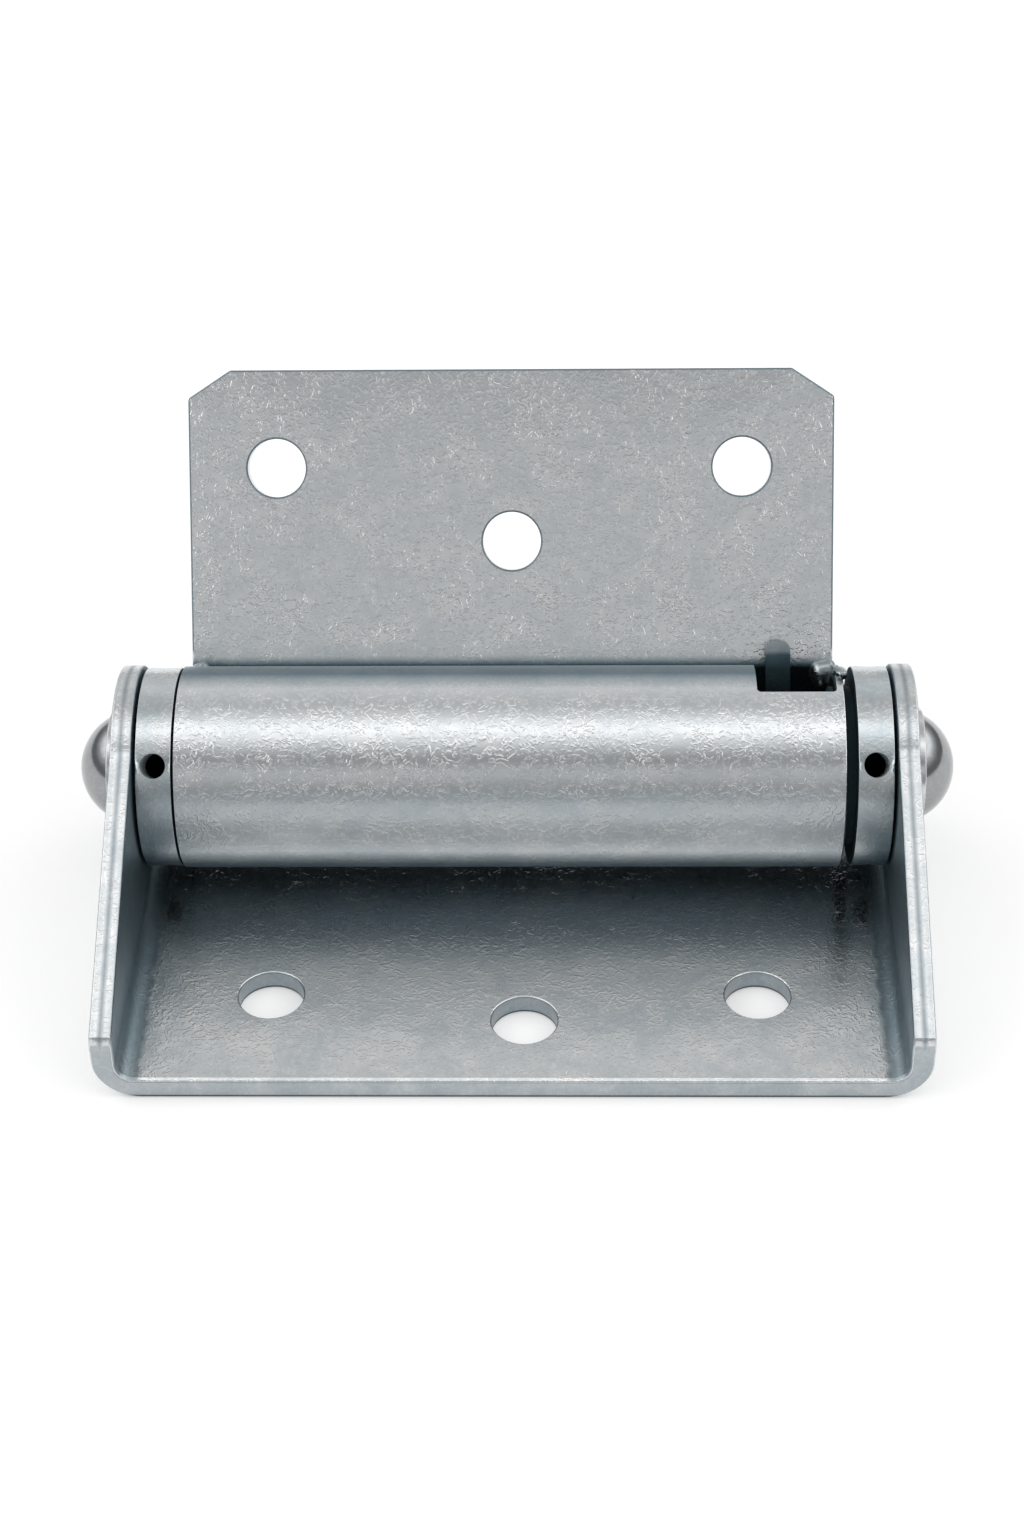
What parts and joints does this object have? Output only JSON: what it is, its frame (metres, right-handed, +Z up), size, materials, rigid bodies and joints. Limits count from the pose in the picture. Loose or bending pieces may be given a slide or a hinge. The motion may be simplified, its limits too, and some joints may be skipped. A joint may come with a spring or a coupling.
{
  "type": "fire door spring hinge",
  "caption": "Self-closing spring hinge for a fire door: folded U bracket, leaf rolled into a barrel, riveted pin, tension collars and a torsion spring inside.",
  "frame": {"origin": "on the underside of the bracket, straight below the pin at its mid length", "axes": "+X along the pin to the end with the window, +Y away from the front edge of the base, +Z up from the base"},
  "size_m": [0.1234, 0.0891, 0.0598],
  "materials": {
    "plated_bracket_sheet": "bright zinc plate on cold rolled sheet, fine orange-peel texture",
    "plated_leaf_sheet": "bright zinc plate on cold rolled sheet, fine orange-peel texture",
    "plated_pin": "bright zinc plate on turned steel, riveted ends polished by the tool",
    "plated_collar": "bright zinc plate on turned steel",
    "plated_spring_wire": "zinc plate on flat spring wire",
    "plated_washer": "bright zinc plate on a punched washer"
  },
  "bodies": {
    "bracket": {"bracket": "plated_bracket_sheet", "pivot_pin": "plated_pin", "washer_left": "plated_washer", "washer_right": "plated_washer"},
    "leaf": {"leaf": "plated_leaf_sheet", "torsion_spring": "plated_spring_wire"},
    "left_collar": {"tension_collar_left": "plated_collar"},
    "right_collar": {"tension_collar_right": "plated_collar"}
  },
  "joints": [
    {"name": "leaf_swing", "type": "hinge", "parent": "bracket", "child": "leaf", "pos_m": [0, 0, 0.0184], "axis": [1, 0, 0], "range_deg": [-58, 122], "stiffness_Nm_per_rad": 2.1, "deforming": ["torsion_spring"]},
    {"name": "left_collar_turn", "type": "hinge", "parent": "bracket", "child": "left_collar", "pos_m": [0, 0, 0.0184], "axis": [1, 0, 0], "range_deg": [-180, 0]},
    {"name": "right_collar_turn", "type": "hinge", "parent": "bracket", "child": "right_collar", "pos_m": [0, 0, 0.0184], "axis": [1, 0, 0], "continuous": true}
  ]
}
